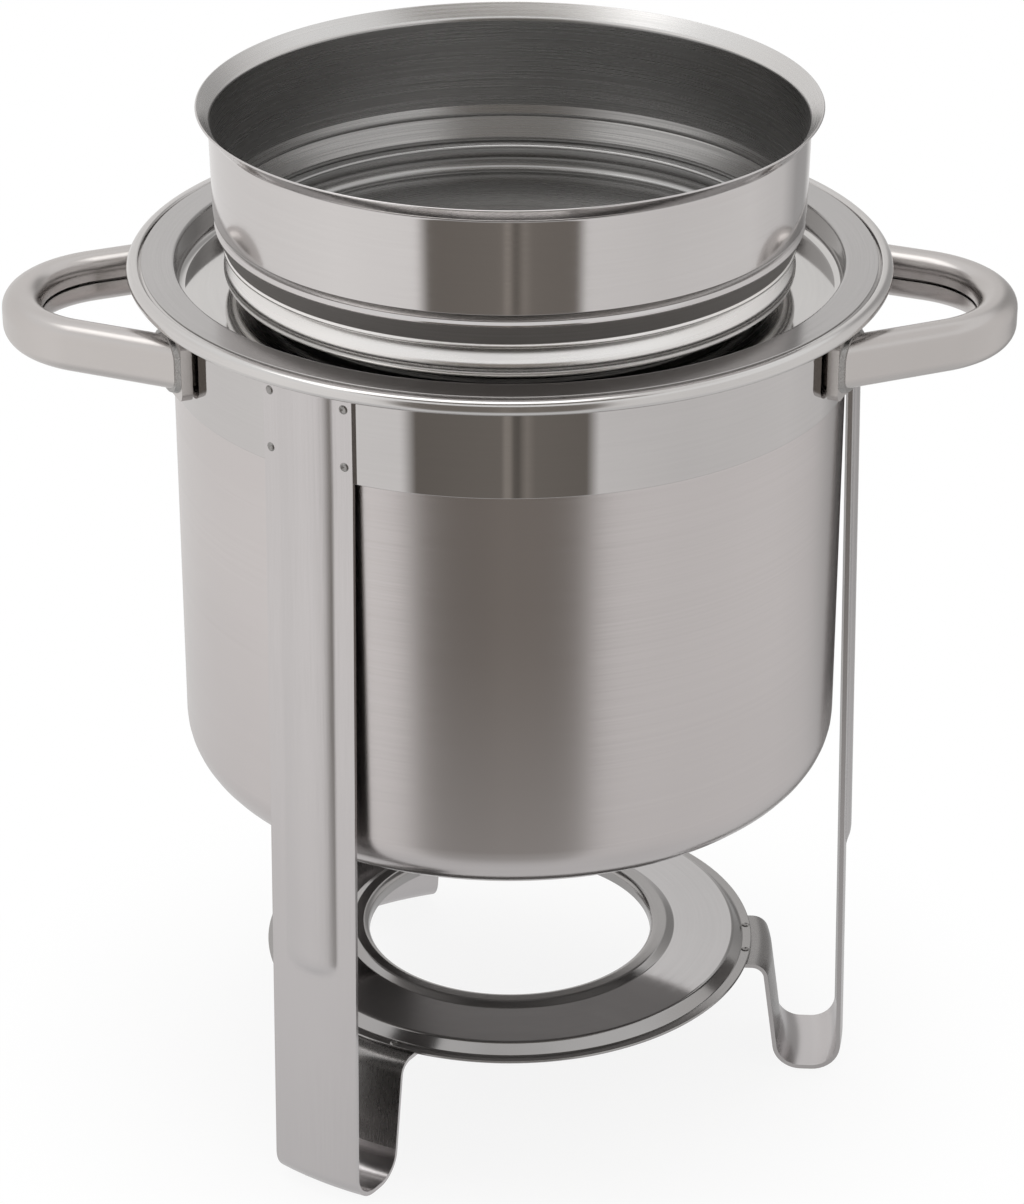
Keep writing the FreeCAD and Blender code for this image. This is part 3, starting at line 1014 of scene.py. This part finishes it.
@dataclass
class Legs:
    """The three bent legs, each with a pressed rib.

    Attributes:
        turns: each leg's name and its turn from +X in degrees.
        back: radius of the collar that a leg lies on.
        top: height of a leg's upper end.
        knee: height where a leg starts to lean.
        lean: how far the foot stands out.
        foot: depth of the foot.
        foot_bend: bends of the foot.
        sheet: thickness.
        width: width of the strip.
        ring_radius: outside radius of the fuel ring.
        ring_height: underside of the fuel ring's rim.
        tab_step: from the ring's edge out to the tab's bend.
        tab_bend: that bend.
        tab_reach: how far the tab reaches in under the ring.
        rib_width: width of the rib.
        rib_proud: height of the rib.
        rib_end: height above the floor where the rib starts to run out.
        nose: how steeply the rib runs out.
        row: greatest length of a row of faces along the strip.
        columns: columns of faces before the strip is cut to its width.
        edge: how far the edges are rounded.
    """

    turns: tuple[tuple[str, float], ...] = (
        ("right", -3.5), ("back_left", 116.5), ("front_left", 236.5),
    )
    back: float = 135.2
    top: float = 357.0
    knee: float = 315.0
    lean: float = 6.2
    foot: float = 25.4
    foot_bend: float = 11.0
    sheet: float = 1.8
    width: float = 40.0
    ring_radius: float = 102.8
    ring_height: float = 51.0
    tab_step: float = 7.5
    tab_bend: float = 6.0
    tab_reach: float = 8.7
    rib_width: float = 24.0
    rib_proud: float = 2.0
    rib_end: float = 110.0
    nose: float = 1.6
    row: float = 2.0
    columns: int = 120
    edge: float = 0.35

    def build(self) -> None:
        """Makes the legs."""
        front = (SATIN_LEG, SATIN_LEG)
        # The upright's back carries painted shade.
        back = (LEG_BACK_SHADE, SATIN_LEG)
        for name, degrees in self.turns:
            mesh = self.strip()
            self.press_rib(mesh)
            turn(mesh, math.radians(degrees))
            piece = Piece("leg_strip_" + name, Body.STAND, ("leg_" + name,), "satin_leg",
                          front + back)
            piece.show(mesh, self.sheet, self.edge, len(front))

    def strip(self) -> bmesh.types.BMesh:
        """The middle surface of a plain leg along +X.

        Returns:
            The surface's mesh, in fine rows and columns.
        """
        half = self.sheet / 2
        face = self.back + half
        foot = face + self.lean
        bends = (
            Bend(face, self.top),
            Bend(face, self.knee),
            Bend(foot, half, self.foot_bend),
            Bend(foot - self.foot, half, self.foot_bend),
            Bend(self.ring_radius + self.tab_step, self.ring_height - half, self.tab_bend),
            Bend(self.ring_radius - self.tab_reach, self.ring_height - half),
        )
        mesh = bmesh.new()
        rounded_line(mesh, bends)
        for edge in mesh.edges[:]:
            cuts = int(edge.calc_length() / (self.row * MM))
            if cuts:
                bmesh.ops.subdivide_edges(mesh, edges=[edge], cuts=cuts)
        sector = 2 * math.asin(self.width / 2 / bends[-1].radius)
        turn(mesh, -sector)
        bmesh.ops.spin(mesh, geom=mesh.verts[:] + mesh.edges[:], cent=(0, 0, 0), axis=UP,
                       dvec=(0, 0, 0), angle=2 * sector, steps=self.columns, use_merge=False,
                       use_duplicate=False)
        for side in (-1, 1):
            bmesh.ops.bisect_plane(mesh, geom=mesh.verts[:] + mesh.edges[:] + mesh.faces[:],
                                   plane_co=(0, side * self.width / 2 * MM, 0),
                                   plane_no=(0, side, 0), clear_outer=True)
        settled(mesh)
        outmost = max(mesh.faces, key=lambda face: face.calc_center_median().x)
        if outmost.normal.x < 0:
            bmesh.ops.reverse_faces(mesh, faces=mesh.faces)
        for face in mesh.faces:
            low = face.calc_center_median().z < self.foot * MM / 2
            face.material_index = LegFace.FOOT if low else LegFace.UPRIGHT
        return mesh

    def press_rib(self, mesh: bmesh.types.BMesh) -> None:
        """Pushes the rib out of a plain leg.

        Args:
            mesh: the leg's middle surface.
        """
        face = self.back + self.sheet
        half_width = self.rib_width / 2
        rise = self.rib_proud + face - math.sqrt(face ** 2 - half_width ** 2)
        radius = (rise ** 2 + half_width ** 2) / (2 * rise)
        for vert in mesh.verts:
            across = vert.co.y / MM
            past = self.nose * max(0.0, self.rib_end - vert.co.z / MM)
            inside = radius ** 2 - across ** 2 - past ** 2
            if inside > 0 and vert.co.x / MM > self.back:
                crest = face + self.rib_proud - radius + math.sqrt(inside)
                flat = math.sqrt(face ** 2 - across ** 2)
                vert.co.x += max(0.0, crest - flat) * MM


@dataclass
class Handles:
    """The two loop handles of flat-sided tube.

    Attributes:
        height: height of the tube's middle.
        reach: from the kettle's axis to the tube's outer side.
        splay: how far each arm turns in towards the bow, in degrees.
        plate_face: distance of a plate's face from the axis.
        plate_turn: a plate's turn from the handle's middle, in degrees.
        tube_width: width of the tube.
        tube_height: height of the tube.
        corner: radius of the tube's corners.
        wall: thickness of the tube's wall.
        seam: width of the open seam on the inner side.
        steps: faces round the bow.
        edge: how far the tube's ends are rounded.
    """

    height: float = 336.8
    reach: float = 200.0
    splay: float = 23.0
    plate_face: float = 140.2
    plate_turn: float = 22.036
    tube_width: float = 15.5
    tube_height: float = 20.0
    corner: float = 7.0
    wall: float = 1.5
    seam: float = 1.2
    steps: int = 56
    edge: float = 0.3

    def build(self) -> None:
        """Makes both handles."""
        for name, angle in (("right", 0.0), ("left", math.pi)):
            mesh = self.loop()
            turn(mesh, angle)
            piece = Piece("handle_tube_" + name, Body.STAND, ("handle_" + name,), "satin_handle",
                          (SATIN_HANDLE,))
            piece.show(mesh, self.wall, self.edge)

    def section(self, mesh: bmesh.types.BMesh) -> None:
        """Draws the middle line of the tube's wall, open at the seam.

        Args:
            mesh: the mesh to draw in, in the plane of X and Z about the origin.
        """
        wide = (self.tube_width - self.wall) / 2
        tall = (self.tube_height - self.wall) / 2
        gap = self.seam / 2
        bend = self.corner - self.wall / 2
        line = (
            Bend(-wide, gap), Bend(-wide, tall, bend), Bend(wide, tall, bend),
            Bend(wide, -tall, bend), Bend(-wide, -tall, bend), Bend(-wide, -gap),
        )
        rounded_line(mesh, line)

    def loop(self) -> bmesh.types.BMesh:
        """The wall's middle surface for the right handle.

        Returns:
            The surface's mesh, cut off at the plates' faces.
        """
        splay = math.radians(self.splay)
        plate_turn = math.radians(self.plate_turn)
        outward = Vector((math.cos(plate_turn), math.sin(plate_turn), 0))
        arm_end = outward * self.plate_face
        normal = Vector((math.sin(splay), math.cos(splay), 0))
        reach = self.reach - self.tube_width / 2
        middle = Vector(((reach - normal.dot(arm_end)) / (1 - math.sin(splay)), 0, 0))
        arm_start = middle + normal * (reach - middle.x)
        arm = arm_end - arm_start
        run = arm.normalized() * (arm.length + self.tube_height)
        mesh = bmesh.new()
        self.section(mesh)
        turn(mesh, math.pi / 2 - splay)
        start = arm_start + run + UP * self.height
        bmesh.ops.translate(mesh, verts=mesh.verts, vec=start * MM)
        drawn = bmesh.ops.extrude_edge_only(mesh, edges=mesh.edges[:])["geom"]
        bmesh.ops.translate(mesh, verts=verts_of(drawn), vec=-run * MM)
        bow = bmesh.ops.spin(mesh, geom=edges_of(drawn) + verts_of(drawn), cent=middle * MM,
                             axis=UP, dvec=(0, 0, 0), angle=2 * splay - math.pi,
                             steps=self.steps, use_merge=False, use_duplicate=False)
        drawn = bmesh.ops.extrude_edge_only(mesh, edges=edges_of(bow["geom_last"]))["geom"]
        front = Vector((run.x, -run.y, 0))
        bmesh.ops.translate(mesh, verts=verts_of(drawn), vec=front * MM)
        for side in (1, -1):
            facing = Vector((outward.x, side * outward.y, 0))
            faces = [face for face in mesh.faces if side * face.calc_center_median().y > 0]
            near = dict.fromkeys(
                item for face in faces for item in (*face.verts, *face.edges, face))
            bmesh.ops.bisect_plane(mesh, geom=list(near), plane_co=facing * self.plate_face * MM,
                                   plane_no=-facing, clear_outer=True)
        settled(mesh)
        return mesh


@dataclass
class Fittings:
    """The small pieces that stay as the frame has them: welds and handle plates.

    Attributes:
        finishes: the finish for each start of a node's name.
    """

    finishes: tuple[tuple[str, SteelFinish], ...] = (
        ("leg_welds", WELD_METAL),
        ("ring_welds", WELD_METAL),
        ("handle_welds", WELD_METAL),
        ("handle_plate", SATIN_HANDLE),
    )

    def dress(self, nodes: dict[str, bpy.types.Object]) -> None:
        """Gives the nodes their materials.

        Args:
            nodes: the frame's nodes by name.
        """
        for name, node in nodes.items():
            for start, finish in self.finishes:
                if name.startswith(start):
                    node.data.materials.clear()
                    node.data.materials.append(finish.material())
                    log.info("%s: dressed in %s", name, finish.name)


@dataclass
class Studio:
    """A white light tent that is dark at the front, a pale floor and the camera.

    Heights in the tent are sines of the angle over the horizon. Lengths are in metres.

    Attributes:
        tent: brightness of the tent's wall by the degrees from the front, positive to the right.
        tint: colour of its light.
        shade_tint: colour of its dark front.
        shade: brightness under which the tent's wall counts as dark.
        narrowing: heights between which the tent draws in.
        narrowest: its width above them, as a share of its width below.
        band_start: heights between which a bright band round the tent starts.
        band_end: heights between which that band ends.
        ceiling: brightness of the band and overhead.
        ceiling_start: heights between which the ceiling starts.
        ground: brightness straight down.
        ground_end: heights between which the ground ends.
        floor_tone: tone of the floor.
        floor_fade: radii between which the floor fades to white.
        floor_near: how white the floor is at the kettle.
        floor_glow: brightness of the floor near the kettle as the steel mirrors it.
        glow_radius: radius where that glow ends.
        glow_clear: how clear the floor is in the middle of that glow.
        floor_radius: radius of the floor.
        floor_sides: sides of the floor.
        floor_drop: how far the floor lies under the feet.
        lamp_size: width and depth of the lamp.
        lamp_power: its power in watts.
        lamp_place: its place.
        lamp_tilt: its turns about X and Y in degrees.
        lens: the camera's focal length in millimetres.
        sensor: width of its sensor in millimetres.
        shift: its shift across and up.
        camera_place: its place.
        camera_dip: degrees that it looks down.
    """

    tent: tuple[tuple[float, float], ...] = (
        (-180, 0.86), (-150, 0.86), (-115, 0.92), (-70, 1.0), (-36, 0.95), (-31, 0.19),
        (-2.2, 0.22), (-1.4, 0.35), (0.8, 0.32), (1.5, 0.14), (3.8, 0.14), (4.6, 0.32),
        (6.6, 0.29), (7.6, 0.22), (25.5, 0.2), (29.5, 0.86), (60, 0.8), (105, 0.84),
        (128, 0.72), (142, 0.42), (156, 0.4), (168, 0.76), (180, 0.86),
    )
    tint: Colour = (1.0, 0.985, 0.975)
    shade_tint: Colour = (1.0, 0.91, 0.82)
    shade: float = 0.4
    narrowing: tuple[float, float] = (0.6, 0.9)
    narrowest: float = 0.4
    band_start: tuple[float, float] = (0.53, 0.62)
    band_end: tuple[float, float] = (0.8, 0.87)
    ceiling: float = 0.95
    ceiling_start: tuple[float, float] = (0.955, 0.99)
    ground: float = 0.7
    ground_end: tuple[float, float] = (-0.95, -0.7)
    floor_tone: float = 0.9
    floor_fade: tuple[float, float] = (0.08, 0.25)
    floor_near: float = 0.86
    floor_glow: float = 0.68
    glow_radius: float = 0.62
    glow_clear: float = 0.1
    floor_radius: float = 6.0
    floor_sides: int = 96
    floor_drop: float = 0.0003
    lamp_size: tuple[float, float] = (1.4, 1.0)
    lamp_power: float = 5.0
    lamp_place: tuple[float, float, float] = (-0.3, 0.1, 1.9)
    lamp_tilt: tuple[float, float] = (3, -9)
    lens: float = 119.73
    sensor: float = 36.0
    shift: tuple[float, float] = (0.0018, 0.001)
    camera_place: tuple[float, float, float] = (0.0, -1.4673, 0.9352)
    camera_dip: float = 26.38

    def build(self) -> None:
        """Sets up the world, the floor, the lamp and the camera."""
        self.build_world()
        self.build_floor()
        self.build_lamp()
        self.build_camera()

    def wall_stops(self) -> list[tuple[float, Colour]]:
        """The colours of the tent's wall from the back round by the front.

        Returns:
            Each stop's place from 0 to 1 and its colour.
        """
        stops = []
        for angle, level in self.tent:
            tint = self.shade_tint if level < self.shade else self.tint
            stops.append(((angle + 180) / 360, tuple(level * part for part in tint)))
        return stops

    def build_world(self) -> None:
        """Lights the scene from a tent and shows plain white to the camera."""
        world = bpy.data.worlds.new("light_tent")
        world.use_nodes = True
        bpy.context.scene.world = world
        graph = NodeGraph(world.node_tree)
        parts = graph.add("ShaderNodeSeparateXYZ")
        graph.join(graph.add("ShaderNodeTexCoord").outputs["Generated"], parts.inputs[0])
        x, y, z = parts.outputs
        angle = graph.sum("ARCTAN2", x, graph.sum("MULTIPLY", y, -1.0))
        narrow = graph.spread(z, *self.narrowing, 1.0, self.narrowest, True)
        turned = graph.sum("MULTIPLY", angle, narrow)
        place = graph.spread(turned, -math.pi, math.pi, 0.0, 1.0)
        tent = graph.ramp(place, self.wall_stops())
        band_start = graph.spread(z, *self.band_start, 0.0, 1.0, True)
        band_end = graph.spread(z, *self.band_end, 1.0, 0.0, True)
        band = graph.sum("MULTIPLY", band_start, band_end)
        over = graph.spread(z, *self.ceiling_start, 0.0, 1.0, True)
        under = graph.spread(z, *self.ground_end, 1.0, 0.0, True)
        tent = graph.mix(band, tent, grey(self.ceiling))
        tent = graph.mix(over, tent, grey(self.ceiling))
        tent = graph.mix(under, tent, grey(self.ground))
        seen = graph.add("ShaderNodeLightPath").outputs["Is Camera Ray"]
        background = graph.add("ShaderNodeBackground")
        graph.join(graph.mix(seen, tent, WHITE), background.inputs["Color"])
        output = graph.add("ShaderNodeOutputWorld")
        graph.join(background.outputs[0], output.inputs["Surface"])

    def build_floor(self) -> None:
        """Makes the floor, which fades to white and lets the steel mirror the tent."""
        mesh = bmesh.new()
        bmesh.ops.create_circle(mesh, cap_ends=True, segments=self.floor_sides,
                                radius=self.floor_radius,
                                matrix=Matrix.Translation((0, 0, -self.floor_drop)))
        data = bpy.data.meshes.new("floor")
        mesh.to_mesh(data)
        mesh.free()
        floor = bpy.data.objects.new("floor", data)
        bpy.context.scene.collection.objects.link(floor)
        data.materials.append(self.floor_material())

    def floor_material(self) -> bpy.types.Material:
        """Makes the floor's material.

        Returns:
            The material.
        """
        material = bpy.data.materials.new("pale_floor")
        material.use_nodes = True
        graph = NodeGraph(material.node_tree)
        matt = graph.add("ShaderNodeBsdfDiffuse")
        graph.join(grey(self.floor_tone), matt.inputs["Color"])
        white = graph.add("ShaderNodeEmission")
        clear = graph.add("ShaderNodeBsdfTransparent")
        length = graph.add("ShaderNodeVectorMath", operation="LENGTH")
        graph.join(graph.add("ShaderNodeTexCoord").outputs["Object"], length.inputs[0])
        radius = length.outputs["Value"]
        path = graph.add("ShaderNodeLightPath")
        fade = graph.spread(radius, *self.floor_fade, self.floor_near, 1.0, True)
        fade = graph.sum("MULTIPLY", fade, path.outputs["Is Camera Ray"])
        seen = graph.blend(fade, matt, white)
        glow = graph.add("ShaderNodeEmission")
        graph.join(self.floor_glow, glow.inputs["Strength"])
        far = graph.spread(radius, 0.0, self.glow_radius, self.glow_clear, 1.0)
        under = graph.blend(far, glow, clear)
        mirrored = graph.blend(path.outputs["Is Glossy Ray"], seen, under)
        output = graph.add("ShaderNodeOutputMaterial")
        graph.join(mirrored.outputs[0], output.inputs["Surface"])
        return material

    def build_lamp(self) -> None:
        """Hangs one broad soft lamp over the kettle."""
        lamp = bpy.data.lights.new("soft_top", "AREA")
        lamp.shape = "RECTANGLE"
        lamp.size, lamp.size_y = self.lamp_size
        lamp.energy = self.lamp_power
        top = bpy.data.objects.new("soft_top", lamp)
        top.location = self.lamp_place
        top.rotation_euler = (*(math.radians(tilt) for tilt in self.lamp_tilt), 0)
        bpy.context.scene.collection.objects.link(top)

    def build_camera(self) -> None:
        """Places the camera in front of the kettle, looking down at it."""
        camera = bpy.data.cameras.new("camera")
        camera.lens = self.lens
        camera.sensor_width = self.sensor
        camera.shift_x, camera.shift_y = self.shift
        holder = bpy.data.objects.new("camera", camera)
        holder.location = self.camera_place
        holder.rotation_euler = (math.radians(90 - self.camera_dip), 0, 0)
        bpy.context.scene.collection.objects.link(holder)
        bpy.context.scene.camera = holder


def main() -> None:
    """Builds the kettle's pieces in order, dresses them and sets up the studio."""
    logging.basicConfig(level=logging.INFO, format="%(name)s: %(message)s")
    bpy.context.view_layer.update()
    for assembly in (Kettle(), Tray(), FoodPan(), Collar(), FuelRing(), Legs(), Handles()):
        assembly.build()
    Fittings().dress(frame["nodes"])
    Studio().build()
    bpy.context.scene.view_settings.view_transform = "Standard"


if __name__ == "__main__":
    main()
